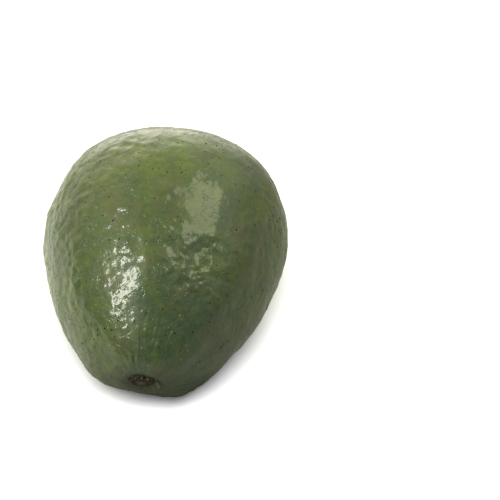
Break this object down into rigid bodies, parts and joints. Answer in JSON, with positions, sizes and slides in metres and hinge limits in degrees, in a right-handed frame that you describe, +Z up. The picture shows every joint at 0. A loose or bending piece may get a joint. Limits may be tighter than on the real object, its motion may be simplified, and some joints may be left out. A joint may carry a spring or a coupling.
{
  "type": "avocado",
  "caption": "Whole green avocado lying on its side: a blunt egg that narrows to lobed shoulders, with a dried woody button in a slanting stem hollow and a small flat spot to rest on.",
  "frame": {"origin": "on the table, under the middle of the fruit's outline seen from above", "axes": "+Z up; the stem end points along -Y and dips; +X across the fruit, to the right of someone who faces the stem end"},
  "size_m": [0.1032, 0.1242, 0.0941],
  "materials": {
    "skin": "waxy, glossy, finely pebbled",
    "stem": "dry and rough"
  },
  "bodies": {
    "root": {"fruit": "skin", "stem_button": "stem"}
  },
  "joints": []
}
